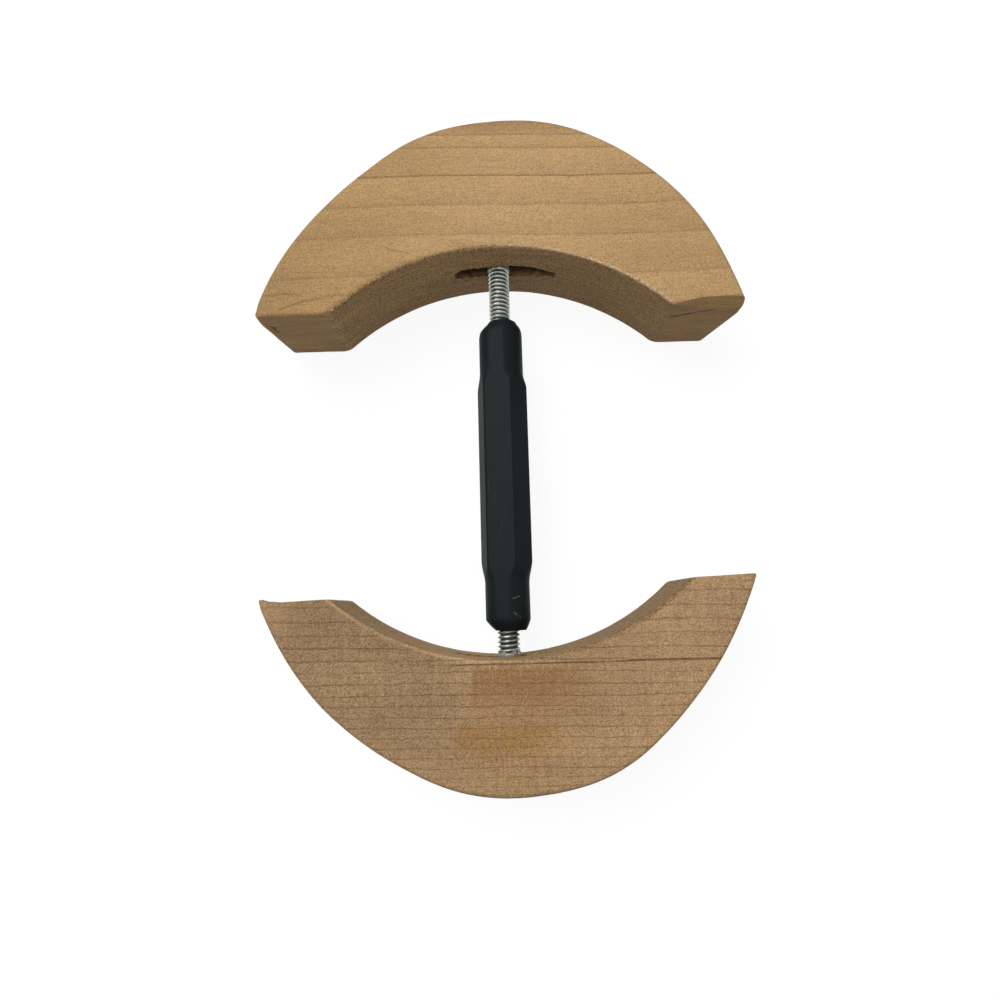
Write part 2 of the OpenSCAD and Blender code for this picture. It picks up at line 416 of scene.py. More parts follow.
def slot_cutter(block, seed):
    """The plunge cut for the cross pin: a disc, thinner towards its rim and torn towards the mouth's ends.

    Its upper and lower sides are heights above and below its middle plane: the plain taper, plus ripples. The
    left end is broken out wider, and so is the upper side at the right end.
    """
    turn = np.linspace(0, 2 * np.pi, 160, endpoint=False)[:, None]
    rings, edge = 22, 5
    share = np.concatenate([np.linspace(0, 1, rings), np.ones(edge), np.linspace(1, 0, rings)])[None, :]
    level = np.concatenate([-np.ones(rings), np.linspace(-1, 1, edge + 2)[1:-1], np.ones(rings)])[None, :]
    x = SLOT_CUTTER_R * share * np.sin(turn)
    y = SLOT_CUTTER_R * share * np.cos(turn)
    spots = np.stack([x, y], -1)
    torn = smooth_step(np.abs(x), 4, 12)

    def side(seed):
        """Height of one side above the middle plane."""
        rough = 0.30 * ripple(spots, 2.4, seed) + 0.22 * ripple(spots, 1.1, seed + 1)
        plain = (SLOT_RIM_T + (SLOT_MIDDLE_T - SLOT_RIM_T) * (1 - share)) / 2
        return np.maximum(plain + torn * rough, 0.3) + SLOT_LEFT_BREAK * smooth_step(-x, 6, 12)

    upper = side(seed) + SLOT_RIGHT_BREAK * smooth_step(x, 3, 9)
    height = (upper * (1 + level) - side(seed + 20) * (1 - level)) / 2
    stretch = 1 + 0.02 * torn * ripple(spots, 4.0, seed + 2)
    face = block["foot"] + block["hollow"]
    points = np.stack([
        block["slot_x"] + x * stretch, block["side"] * (face + SLOT_DEPTH - SLOT_CUTTER_R + y),
        AXIS_Z + height], -1)
    return new_object("slot_cutter", points.reshape(-1, 3), grid_faces(*points.shape[:2], wrap_rows=True))


def tube_points(radius, along, turn):
    """Points at a radius round the rods' axis; the angle runs from +X towards +Z."""
    radius, along, turn = np.broadcast_arrays(radius, along, turn)
    return np.stack([radius * np.cos(turn), along, AXIS_Z + radius * np.sin(turn)], -1)


def hole_cutter(block):
    """The drilled hole for a rod: a round bore with a drill point."""
    # A small turn keeps the bore's edges off the slot's middle plane
    first = 0.02
    turn = np.linspace(first, 2 * np.pi + first, 64, endpoint=False)[:, None]
    face = block["foot"] + block["hollow"]
    out = np.concatenate([
        [-HOLE_LEAD], np.linspace(-HOLE_LEAD, ROD_EMBED, 13), [ROD_EMBED + DRILL_POINT_L]])[None, :]
    radius = np.where((out == out.max()) | (np.arange(out.size) == 0), 0, HOLE_R)
    points = tube_points(radius, block["side"] * (face + out), turn)
    return new_object("hole_cutter", points.reshape(-1, 3), grid_faces(*points.shape[:2], wrap_rows=True))


def sleeve():
    """The black sleeve: radius = soft minimum of a six-sided p-norm and a collar profile, with rounded ends.

    The six sides are a = r * (sum of |cos| to the power p)^(1/p), whose corners stay a little round. The top
    and bottom pair lies nearer. The collar profile swells along an S. Each end closes along a superellipse
    near to a straight chamfer, wider on the left than on the right, and a shallow groove sets off the front
    lip. The path then runs back through the bore.
    """
    length = SLEEVE_HIGH - SLEEVE_LOW
    corner_power, soft_power = 70, 80
    turn = np.linspace(0, 2 * np.pi, 240, endpoint=False)[:, None]
    grip_from = REAR_COLLAR_L + SWELL_L
    grip_to = length - FRONT_COLLAR_L - SWELL_L
    along = np.concatenate([
        arc_rows(REAR_END_L, 14), np.linspace(REAR_END_L, REAR_COLLAR_L, 10, endpoint=False),
        np.linspace(REAR_COLLAR_L, grip_from, 18, endpoint=False),
        np.linspace(grip_from, grip_to, 26, endpoint=False),
        np.linspace(grip_to, grip_to + SWELL_L, 18, endpoint=False),
        np.linspace(grip_to + SWELL_L, length - FRONT_END_L, 12, endpoint=False),
        length - arc_rows(FRONT_END_L, 14)[::-1]])[None, :]
    nearness = (1.0, 0.925, 1.0)
    sides = sum((np.abs(np.cos(turn - GRIP_TURN - np.radians(30 + 60 * k))) / near) ** corner_power
                for k, near in enumerate(nearness))
    grip = GRIP_FLATS / 2 / sides ** (1 / corner_power)
    swell = smooth_step(along, REAR_COLLAR_L + 1.2, grip_from + 2)
    swell = swell * (1 - smooth_step(along, grip_to + 2, grip_to + SWELL_L + 1))
    collar = COLLAR_R + 0.12 * smooth_step(along, grip_from, grip_to)
    profile = collar + (grip.max() + 0.5 - collar) * swell
    body = (profile**-soft_power + grip**-soft_power) ** (-1 / soft_power)
    rear = along < length / 2
    power = np.where(rear, 1.12, 1.2 + 0.15 * np.cos(turn))
    end_r = np.where(rear, 4.3 + 0.75 * np.cos(turn), 4.05 + 0.5 * np.cos(turn))
    left = np.clip(1 - np.minimum(along / REAR_END_L, (length - along) / FRONT_END_L), 0, 1)
    outer = end_r + (body - end_r) * (1 - left**power) ** (1 / power)
    outer = outer - GROOVE_DEPTH * np.exp(-(((length - along - GROOVE_AT) / GROOVE_HALF_W) ** 2))
    inner = np.array([
        (length, SLEEVE_BORE_R), (length - END_LIP_L, SLEEVE_BORE_R), (length - END_LIP_L, LINER_POCKET_R),
        (END_LIP_L, LINER_POCKET_R), (END_LIP_L, SLEEVE_BORE_R), (0, SLEEVE_BORE_R)])
    points = np.concatenate([
        tube_points(outer, SLEEVE_LOW + along, turn),
        tube_points(inner[None, :, 1], SLEEVE_LOW + inner[None, :, 0], turn)], 1)
    return new_object("grip_sleeve", points.reshape(-1, 3), grid_faces(*points.shape[:2], True, True))


def threaded_rod(name, node, hand):
    """A rolled thread: the grid's rows follow the helix, y = start + pitch * turns.

    The radius depends only on the place across the thread. Rows past an end lie on its rim and merge.
    """
    low, high = (corner[1] for corner in box_mm(node))
    around, per_turn = 48, 12
    column = np.arange(around)[:, None]
    rows = int(np.ceil((high - low) / THREAD_PITCH) + 2) * per_turn
    start = low + THREAD_PITCH * (np.arange(rows)[None, :] / per_turn - 1)
    turn = 2 * np.pi * column / around
    along = np.clip(start + hand * THREAD_PITCH * column / around, low, high)
    phase = ((along - low) / THREAD_PITCH - hand * column / around) % 1
    height = smooth_step(1 - np.abs(2 * phase - 1), 0.02, 0.95)
    radius = THREAD_ROOT_R + (THREAD_CREST_R - THREAD_ROOT_R) * height
    end_gap = np.minimum(along - low, high - along)
    radius = np.minimum(radius, THREAD_CREST_R - ROD_CHAMFER + end_gap)
    points = tube_points(radius, along, turn)
    faces = grid_faces(around, rows)
    row = np.arange(rows - 1)
    row = row[(row + hand * per_turn >= 0) & (row + 1 + hand * per_turn < rows)]
    last, first = (around - 1) * rows + row, row + hand * per_turn
    seam = np.stack([last, last + 1, first + 1, first], -1)
    return new_object(name, points.reshape(-1, 3), np.concatenate([faces, seam]))


def glue_ring(name, node, block, seed):
    """Hardened glue round a rod: a ring in the hole, whose proud rim wanders and rounds onto the thread."""
    low, high = (corner[1] for corner in box_mm(node))
    side = block["side"]
    face = side * (block["foot"] + block["hollow"])
    depth = high - face if side > 0 else face - low
    turn = np.linspace(0, 2 * np.pi, 72, endpoint=False)[:, None]
    spots = np.stack([np.cos(turn), np.sin(turn)], -1) * 4
    lift = block["glue_proud"] * (0.78 + 0.22 * ripple(spots, 4, seed))
    over = np.linspace(0, np.pi / 2, 9)[None, :]
    outer_r = HOLE_R - GLUE_GAP
    rim_r = GLUE_INNER_R + (outer_r - GLUE_INNER_R) * np.cos(over) ** 0.7
    rim_out = lift * (0.35 + 0.65 * np.sin(over))
    bumps = 0.05 * ripple(tube_points(rim_r, rim_out * 3, turn), 2.2, seed + 1)
    ones = np.ones_like(turn)
    radius = np.concatenate([ones * outer_r, ones * outer_r, rim_r - np.abs(bumps), ones * GLUE_INNER_R], 1)
    out = np.concatenate([-depth * ones, 0 * ones, rim_out, -depth * ones], 1)
    points = tube_points(radius, face - side * out, turn)
    return new_object(name, points.reshape(-1, 3), grid_faces(*points.shape[:2], True, True))


def cross_pin(name, node, seed):
    """A cut steel pin along X: round, with rolled-over ends and a slightly slanted shear at each."""
    low, high = box_mm(node)
    radius, half = (high[2] - low[2]) / 2, (high[0] - low[0]) / 2
    turn = np.linspace(0, 2 * np.pi, 48, endpoint=False)[:, None]
    over = np.linspace(0, np.pi / 2, 7)[None, :]
    end_x = half - PIN_END_R + PIN_END_R * np.cos(over)
    end_r = radius - PIN_END_R + PIN_END_R * np.sin(over)
    x = np.concatenate([-end_x, end_x[:, ::-1]], 1)
    r = np.concatenate([end_r, end_r[:, ::-1]], 1)
    slant = 0.05 * (r / radius) * (np.cos(turn) - 1)
    middle = (low + high) / 2
    points = np.stack([
        x + np.sign(x) * slant, middle[1] + r * np.cos(turn + seed), middle[2] + r * np.sin(turn + seed)], -1)
    return new_object(name, points.reshape(-1, 3), grid_faces(*points.shape[:2], wrap_rows=True))


class Wire:
    """A socket in a node tree. Arithmetic on it adds Math nodes, and node() adds any other."""

    def __init__(self, tree, socket=None):
        self.tree, self.socket = tree, socket

    def node(self, kind, settings=None, sockets=None, out=0):
        """Adds a node: its settings first, then the values or links of its sockets. Gives one of its outputs.

        The setting stops places a colour ramp's stops, each a position and a grey level.
        """
        made = self.tree.nodes.new(kind)
        for key, value in (settings or {}).items():
            if key == "stops":
                stops = made.color_ramp.elements
                for position, grey in value:
                    stops.new(position).color = (grey, grey, grey, 1.0)
            else:
                setattr(made, key, value)
        for key, value in (sockets or {}).items():
            if isinstance(value, Wire):
                self.tree.links.new(value.socket, made.inputs[key])
            else:
                made.inputs[key].default_value = value
        return Wire(self.tree, made.outputs[out] if made.outputs else None)

    def math(self, operation, *values):
        """Adds a Math node with those values."""
        return self.node("ShaderNodeMath", {"operation": operation}, dict(enumerate(values)))

    def __add__(self, other):
        return self.math("ADD", self, other)

    def __radd__(self, other):
        return self.math("ADD", other, self)

    def __sub__(self, other):
        return self.math("SUBTRACT", self, other)

    def __rsub__(self, other):
        return self.math("SUBTRACT", other, self)

    def __mul__(self, other):
        return self.math("MULTIPLY", self, other)

    def __rmul__(self, other):
        return self.math("MULTIPLY", other, self)

    def __truediv__(self, other):
        return self.math("DIVIDE", self, other)

    def __pow__(self, other):
        return self.math("POWER", self, other)

    def limited(self):
        """This value, kept from 0 to 1."""
        return self.node("ShaderNodeClamp", None, {0: self})

    def ramp(self, low, high):
        """Rises smoothly from 0 at low to 1 at high."""
        return self.node("ShaderNodeMapRange", {"interpolation_type": "SMOOTHSTEP"},
                         {"Value": self, "From Min": low, "From Max": high})

    def stretched(self, x, y, z):
        """A vector with each way scaled."""
        return self.node("ShaderNodeVectorMath", {"operation": "MULTIPLY"}, {0: self, 1: (x, y, z)})

    def scaled(self, factor):
        """A vector or a colour times a value."""
        return self.node("ShaderNodeVectorMath", {"operation": "SCALE"}, {0: self, "Scale": factor})

    def noise(self, detail, roughness=0.5):
        """Noise of 0 to 1 at this vector."""
        return self.node("ShaderNodeTexNoise", {"noise_dimensions": "3D"},
                         {"Vector": self, "Scale": 1.0, "Detail": detail, "Roughness": roughness})

    def split(self):
        """The three parts of this vector."""
        parts = self.node("ShaderNodeSeparateXYZ", None, {0: self}).socket.node.outputs
        return [Wire(self.tree, part) for part in parts]

    def blend(self, first, second, way="MIX"):
        """Goes from the first colour to the second as this factor goes from 0 to 1."""
        return self.node("ShaderNodeMix", {"data_type": "RGBA", "blend_type": way},
                         {0: self, 6: first, 7: second}, out=2)


def seen(red, green, blue):
    """A colour as a screen shows it, 0 to 255, in linear light."""
    part = np.array([red, green, blue]) / 255
    light = np.where(part <= 0.04045, part / 12.92, ((part + 0.055) / 1.055) ** 2.4)
    return (*light.tolist(), 1.0)


def new_material(name):
    """An empty material, and a wire that starts its tree."""
    material = bpy.data.materials.new(name)
    material.use_nodes = True
    material.node_tree.nodes.clear()
    return material, Wire(material.node_tree)


def place_mm(start):
    """Object coordinates in millimetres."""
    return start.node("ShaderNodeTexCoord", out="Object").scaled(1 / MM)


def surface(start, sockets, height, depth):
    """A Principled surface with those sockets and a bump of that depth in millimetres, and the output."""
    bump = start.node("ShaderNodeBump", None, {"Distance": depth * MM, "Height": height})
    shader = start.node("ShaderNodeBsdfPrincipled", None, {**sockets, "Normal": bump})
    start.node("ShaderNodeOutputMaterial", None, {"Surface": shader})


def stroke(x, y, first, last, width):
    """1 on a straight line from first to last, falling to 0 at that width from it."""
    run = np.subtract(last, first)
    step = run / (run @ run)
    share = ((x - first[0]) * step[0] + (y - first[1]) * step[1]).limited()
    off_x = x - first[0] - share * run[0]
    off_y = y - first[1] - share * run[1]
    return 1 - (off_x * off_x + off_y * off_y).ramp(0.0, width**2)


def growth_line(count, sharp, soft):
    """A growth ring's dark line, soft on its early side and sharp on its late side, of its own strength."""
    part = count.math("FRACT", count)
    line = part.ramp(1 - sharp - soft, 1 - sharp) ** 3.0 * (1 - part.ramp(1 - sharp, 1.0))
    number = count.math("FLOOR", count)
    ring = count.node("ShaderNodeTexWhiteNoise", {"noise_dimensions": "1D"}, {"W": number})
    return line * (0.65 + 0.35 * ring)


def placed_rings(level, lines):
    """Growth rings with dark lines at given levels: sharp below each line, and fading slowly above it."""
    low, high = lines[0] - 2, lines[-1] + 12
    sharp, soft, tail_grey = 0.22, 0.36, 0.22
    stops = []
    for line in lines:
        stops += [(line - sharp, 0.0), (line, 1.0), (line + soft, tail_grey)]
    stops = [((at - low) / (high - low), grey) for at, grey in stops]
    share = (level - low) / (high - low)
    return share.node("ShaderNodeValToRGB", {"stops": stops}, {0: share})


def fibres(place):
    """Noise drawn out along X, the way of the grain: broad streaks, fine fibres, specks and dark flecks."""
    streak = place.stretched(0.07, 1.5, 1.5).noise(3.0) - 0.5
    fibre = place.stretched(0.30, 3.6, 3.6).noise(2.0) - 0.5
    speck = place.stretched(2.6, 3.0, 3.0).noise(2.0, 0.75) - 0.5
    fleck = place.stretched(0.35, 2.6, 2.6).noise(1.0).ramp(0.66, 0.82)
    return streak, fibre, speck, fleck


def front_face(z):
    """1 on the blocks' front faces, and 0 below their edges."""
    return z.ramp(BLOCK_T - 0.9, BLOCK_T - 0.2)


def rough_cuts(place, face, inside):
    """Dark pits left by the saw below the front face, most of them in the hollow."""
    pits = place.stretched(1.3, 1.3, 0.9).noise(3.0, 0.65).ramp(0.45, 0.75)
    return pits * (1 - face) * (0.35 + 0.65 * inside)


def painted_slot_shade(x, y, z, out, block):
    """Painted shade in the slot: dark deep inside, lighter near the hollow's wall, most of all on the right.
    """
    slot_x = x - block["slot_x"]
    slot_y = (y - block["mouth"]) * block["side"] - SLOT_DEPTH + SLOT_CUTTER_R
    share = (slot_x * slot_x + slot_y * slot_y) ** 0.5 / SLOT_CUTTER_R
    half = SLOT_MIDDLE_T / 2 - share * (SLOT_MIDDLE_T - SLOT_RIM_T) / 2
    half = half + (1 - slot_x.ramp(-12.0, -6.0)) * SLOT_LEFT_BREAK
    slot_z = z - AXIS_Z
    margin = 0.9
    in_slot = (half + margin - slot_z.math("ABSOLUTE", slot_z)).ramp(0.0, 0.4) * (1 - share.ramp(1.03, 1.08))
    least = 0.45 - slot_x.ramp(0.0, 6.0) * 0.30
    return in_slot * out.ramp(0.05, 0.3) * (least + (0.96 - least) * out.ramp(0.5, 2.4))


def hollow_marks(x, y, z, block):
    """The marks of a block's own edges.

    These are the hollow's pale front edge, partly pale fuzz and partly a painted highlight where it rounds
    over, its torn fibres on one side of the rod, painted shade in the slot, the hollow's wall itself, the
    streaks that run along it, and a thin line of painted shade where the outer edge rounds over.
    """
    centre_x, centre_y = block["hollow_centre"]
    across = x - centre_x
    outward = (y - centre_y) * block["side"]
    out = (across * across + outward * outward) ** 0.5 - HOLLOW_R
    along = across.math("ARCTAN2", across, outward) * HOLLOW_R
    down = BLOCK_T - z
    tick = along.node("ShaderNodeCombineXYZ", None, {0: along * 1.9, 1: out * 0.35, 2: down * 0.35})
    tick = tick.noise(2.0, 0.6)
    side = 0.25 + 0.75 * (across * block["torn_way"]).ramp(-8.0, 10.0)
    # Partly pale fuzz of the sawn edge and partly a painted highlight where the hollow's front edge rounds
    # over
    pale = (1 - (out + tick * 1.4 * side).ramp(0.5, 1.7)) * (1 - down.ramp(0.3, 1.5))
    torn = (1 - (down + tick * 2.0).ramp(1.6, 3.2)) * down.ramp(0.2, 0.9) * (1 - out.ramp(0.8, 1.6)) * side
    fray = (1 - (out + tick).ramp(0.8, 2.6)) * (1 - down.ramp(0.2, 0.7)) * side
    torn = torn + fray * 0.4
    fork = tick.ramp(0.42, 0.62)
    # Painted shade in the slot, darker with depth
    slot_shade = painted_slot_shade(x, y, z, out, block)
    inside = 1 - out.ramp(0.6, 1.2)
    wall = along.node("ShaderNodeCombineXYZ", None, {0: along * 0.05, 1: out * 0.3, 2: down * 1.1})
    wall = (wall.noise(3.0) - 0.5) * inside
    # Painted shade: a thin dark line just below the face where the outer edge rounds over, away from the
    # hollow and the feet
    edge_shade = (down - 0.08).limited() ** 0.5 * (1 - down.ramp(0.5, 0.9)) * out.ramp(4.0, 6.0)
    edge_shade = edge_shade * (y * block["side"]).ramp(block["foot"] + 1.2, block["foot"] + 3.0)
    return pale, torn * fork, slot_shade, inside, wall, edge_shade


def front_flaws(x, y, z, shiver, face):
    """The front block's flaws: a flame and a split on its face, and a crack and a chip in its feet."""
    bent = y + shiver * 0.9
    flame = sum(stroke(x, bent, first, last, 0.55) for first, last in FLAME_LINES) * face
    split_y = y + shiver * 0.6
    split = stroke(x, split_y, SPLIT_START, SPLIT_BEND, 0.22)
    split = (split + stroke(x, split_y, SPLIT_BEND, SPLIT_END, 0.22)) * face
    crack_x, crack_z = x + shiver * 1.2, z + shiver * 1.5
    crack = stroke(crack_x, crack_z, CRACK_START, CRACK_BEND, 0.60)
    crack = (crack + stroke(crack_x, crack_z, CRACK_BEND, CRACK_END, 0.40)) * (1 - y.ramp(37.5, 38.5))
    chip = stroke(x + shiver * 0.6, z + shiver * 0.6, CHIP_START, CHIP_END, 0.5) * (1 - y.ramp(37.0, 38.0))
    return flame, split, crack, chip


def front_wood():
    """Light tan wood with thin growth lines at chosen levels, a few cracks and a rough-sawn hollow."""
    material, start = new_material("front_wood")
    place = place_mm(start)
    x, y, z = place.split()
    streak, fibre, speck, fleck = fibres(place)
    face = front_face(z)
    cloud = place.stretched(0.018, 0.05, 0.05).noise(2.0)
    wander = place.stretched(0.04, 0.10, 0.10).noise(1.0) - 0.5
    shiver = place.stretched(0.45, 0.45, 0.45).noise(1.0) - 0.5
    strength = place.stretched(0.05, 0.08, 0.08).noise(2.0).ramp(0.25, 0.65)
    swing = (x + 25.0) * 0.0507
    level = y - 0.6 * swing.math("COSINE", swing) + (z - BLOCK_T) * 1.3 + wander * 0.7 + shiver * 0.35
    pale, torn, slot_shade, inside, wall, edge_shade = hollow_marks(x, y, z, FRONT)
    outside = (1 - face) * (1 - inside)
    line = placed_rings(level, FRONT_RINGS) * (0.80 + 0.20 * strength) * (0.30 + 0.70 * face + 0.40 * outside)
    faint = growth_line(level / 2.3 + wander * 2.0, 0.05, 0.35) * (1 - strength)
    flame, split, crack, chip = front_flaws(x, y, z, shiver, face)
    left_foot = (1 - x.ramp(-64.0, -40.0)) * (1 - y.ramp(38.0, 64.0)) * face
    # Painted highlight: a pale line along the left foot's edge where it meets the hollow's wall
    corner = (1 - y.ramp(FRONT["foot"] + 0.4, FRONT["foot"] + 1.8)) * shiver.ramp(-0.2, 0.2)
    corner = corner * (1 - x.ramp(-46.0, -44.0)) * x.ramp(-51.0, -49.0) * (1 - face)
    nose = y.ramp(82.0, 94.0)
    colour = cloud.ramp(0.32, 0.68).blend(seen(176, 142, 96), seen(188, 153, 105))
    colour = ((1 - x.ramp(-50.0, 5.0)) * face).blend(colour, (0.92, 0.905, 0.81, 1.0), "MULTIPLY")
    colour = (line * 0.95 + faint * 0.16 + flame * 0.36).limited().blend(colour, seen(122, 84, 49))
    colour = (crack * 0.80 + chip * 0.75 + split * 0.45).limited().blend(colour, seen(74, 50, 32))
    # The hollow's pale front edge: partly fuzz, partly painted highlight
    colour = (pale * 0.50).blend(colour, seen(204, 174, 136))
    colour = (torn * 0.70).blend(colour, seen(112, 86, 58))
    # Painted highlight on the left foot's inner edge
    colour = (corner * 0.35).blend(colour, seen(214, 184, 146))
    # Painted shade in the slot
    colour = (slot_shade * 0.95).blend(colour, seen(54, 33, 17))
    # Painted shade along the rounded outer edge, stronger towards the nose
    colour = (edge_shade * (0.32 + nose * 0.22)).blend(colour, seen(48, 40, 32))
    # Painted shade: the surfaces below the front face are tinted a little redder, the colour the shaded walls
    # take
    colour = (1 - face).blend(colour, (0.98, 0.96, 0.95, 1.0), "MULTIPLY")
    rough_cut = rough_cuts(place, face, inside)
    far_side = x.ramp(-30.0, 20.0)
    shade = streak * (0.55 - face * 0.3 + outside * 0.3) + fibre * 0.45 + wall * (1.3 - far_side * 0.6)
    shade = shade + speck * (2.0 + inside * 2.2 - outside * 0.8)
    shade = shade - fleck * 0.16 - rough_cut * 0.26 - left_foot * 0.11 - far_side * (1 - face) * 0.09
    colour = colour.scaled(1.04 + shade)
    height = streak * 0.4 + fibre * 0.7 + speck * 0.9 + wall - fleck * 0.4
    height = height - line * 0.3 - rough_cut * 0.8 - crack * 2 - torn
    surface(start, {"Base Color": colour, "Roughness": 0.66 + fibre * 0.2 - line * 0.1,
                    "Specular IOR Level": 0.3}, height, 0.14)
    return material


def stain_marks(x, y, soft, saw):
    """The rear block's warm stain: an upper and a lower patch, and a thin wash round both."""
    edge_x = x + soft * 11
    edge_y = y + soft * 7 + saw * 7
    left = (x + soft * 2.5 - (y + 62.0) * 0.09).ramp(-10.2, -9.0)
    upper = left * (1 - edge_x.ramp(8.0, 26.0))
    upper = upper * (1 - edge_y.ramp(-64.5, -61.5)) * edge_y.ramp(-75.0, -67.0)
    lower = edge_x.ramp(-18.0, -13.5) * (1 - edge_x.ramp(5.0, 14.0))
    lower = lower * (1 - edge_y.ramp(-79.0, -76.5)) * edge_y.ramp(-86.0, -81.0)
    wash = left * (1 - edge_x.ramp(10.0, 28.0))
    wash = wash * edge_y.ramp(-96.0, -84.0) * (1 - edge_y.ramp(-66.0, -61.0))
    return upper, lower, wash


def rear_wood():
    """Browner wood with close, thin growth lines, one dark line, upright saw marks and a warm stain."""
    material, start = new_material("rear_wood")
    place = place_mm(start)
    x, y, z = place.split()
    moved = place.node("ShaderNodeVectorMath", {"operation": "ADD"}, {0: place, 1: (37.0, 0.0, 11.0)})
    streak, fibre, speck, fleck = fibres(moved)
    face = front_face(z)
    cloud = moved.stretched(0.02, 0.05, 0.05).noise(2.0)
    wander = moved.stretched(0.05, 0.14, 0.14).noise(1.0) - 0.5
    shiver = moved.stretched(0.4, 0.4, 0.4).noise(1.0) - 0.5
    strength = moved.stretched(0.045, 0.12, 0.12).noise(2.0).ramp(0.30, 0.65)
    level = wander * 1.5 + shiver * 0.5 - 47.6 - y - x * 0.0173 - (z - BLOCK_T) * 0.5
    count = level * 0.264 + level * level * 0.00203
    pale, torn, slot_shade, inside, wall, edge_shade = hollow_marks(x, y, z, REAR)
    outside = (1 - face) * (1 - inside)
    line = growth_line(count, 0.06, 0.20) * (0.55 + 0.45 * strength) * (0.3 + 0.7 * face + 0.4 * outside)
    dark = stroke(x, y + wander * 0.5 + shiver * 0.15, DARK_START, DARK_END, 0.26) * face
    dark = dark * (0.45 + 0.55 * place.stretched(0.09, 0.0, 0.0).noise(1.0).ramp(0.30, 0.55))
    dark = dark * x.ramp(-30.0, -9.0)
    saw = place.stretched(1.5, 0.05, 0.3).noise(2.0, 0.6) - 0.5
    soft = place.stretched(0.10, 0.16, 0.1).noise(3.0) - 0.5
    upper, lower, wash = stain_marks(x, y, soft, saw)
    uneven = (0.75 + saw * 1.8 + streak * 1.2).limited() * face
    upper, lower, wash = upper * uneven, lower * uneven, wash * face
    nose = 1 - y.ramp(-93.0, -80.0)
    outskirts = (1 - x.ramp(-22.0, -8.0)) * y.ramp(-88.0, -72.0) * 0.15 + x.ramp(42.0, 64.0) * 0.06
    outskirts = outskirts - (1 - x.ramp(-67.0, -50.0)) * y.ramp(-62.0, -48.0) * 0.37
    colour = cloud.ramp(0.32, 0.68).blend(seen(148, 118, 84), seen(163, 132, 95))
    colour = (x.ramp(5.0, 50.0) * 0.60).blend(colour, seen(170, 137, 99))
    colour = (wash * 0.7).blend(colour, (1.05, 1.01, 0.90, 1.0), "MULTIPLY")
    colour = (upper * 0.95).blend(colour, seen(135, 96, 56))
    colour = (lower * 0.72).blend(colour, seen(144, 106, 50))
    colour = (line * 0.80).blend(colour, seen(106, 67, 35))
    colour = (dark * 0.85).blend(colour, seen(86, 50, 30))
    # The hollow's pale front edge: partly fuzz, partly painted highlight
    colour = (pale * 0.28).blend(colour, seen(192, 156, 116))
    colour = (torn * 0.60).blend(colour, seen(104, 80, 54))
    # Painted shade in the slot
    colour = (slot_shade * 0.85).blend(colour, seen(60, 40, 24))
    # Painted shade along the rounded outer edge, stronger towards the nose
    colour = (edge_shade * (0.35 + nose * 0.60)).blend(colour, seen(44, 38, 32))
    colour = (1 - face).blend(colour, (0.98, 0.92, 0.68, 1.0), "MULTIPLY")
    colour = (inside * x.ramp(-10.0, 40.0)).blend(colour, (1.0, 0.97, 0.86, 1.0), "MULTIPLY")
    rough_cut = rough_cuts(place, face, inside)
    sawn = saw * face
    shade = streak * (0.28 + outside * 0.5) + fibre * 0.50 + sawn * 0.38 + wall * 0.8
    shade = shade + speck * (2.6 - outside * 1.2)
    shade = shade - fleck * 0.14 - rough_cut * 0.22 - outskirts * face
    shade = shade + (0.18 - x.ramp(-20.0, 45.0) * 0.54) * inside
    colour = colour.scaled(1.045 + shade)
    height = streak * 0.3 + fibre * 0.6 + speck * 0.9 + sawn * 0.9 + wall - fleck * 0.3
    height = height - line * 0.4 - dark - rough_cut * 0.8 - torn
    surface(start, {"Base Color": colour, "Roughness": 0.66 + fibre * 0.2 - upper * 0.12,
                    "Specular IOR Level": 0.3}, height, 0.14)
    return material


def black_plastic():
    """Matte black moulding, faintly green, with dust, rubbed patches and broken scuffs on the rear collar."""
    material, start = new_material("black_plastic")
    place = place_mm(start)
    x, y, z = place.split()
    haze = place.stretched(0.12, 0.05, 0.12).noise(3.0)
    dust = place.stretched(1.7, 1.7, 1.7).noise(3.0, 0.6).ramp(0.66, 0.76) * haze.ramp(0.35, 0.65)
    grain = place.stretched(3.5, 3.5, 3.5).noise(2.0) - 0.5
    rub = place.stretched(2.2, 0.12, 2.2).noise(2.0).ramp(0.62, 0.80)
    broken = place.stretched(2.4, 2.4, 2.4).noise(2.0, 0.65)
    angle = x.math("ARCTAN2", z - AXIS_Z, x) - np.radians(137.5)
    seam = (1 - angle.math("ABSOLUTE", angle).ramp(0.02, 0.07)) * y.ramp(SLEEVE_LOW + 16, SLEEVE_LOW + 20)
    seam = seam * (1 - y.ramp(SLEEVE_HIGH - 19, SLEEVE_HIGH - 15))
    waver = grain * 0.9 + broken * 0.9
    scuff = sum(stroke(x + waver, y + waver, first, last, 0.28) for first, last in SCUFFS)
    scuff = (scuff * z.ramp(AXIS_Z + 2, AXIS_Z + 3) * broken.ramp(0.42, 0.62)).limited()
    colour = haze.blend(seen(17, 23, 24), seen(25, 31, 32))
    colour = (dust * 0.22 + rub * 0.08).blend(colour, seen(112, 116, 110))
    colour = (scuff * 0.38).blend(colour, seen(150, 152, 146))
    colour = (seam * 0.75).blend(colour, seen(4, 5, 5))
    surface(start, {"Base Color": colour, "Roughness": 0.44 + haze * 0.14 + dust * 0.2,
                    "Specular IOR Level": 0.078}, grain + dust * 0.8, 0.025)
    return material


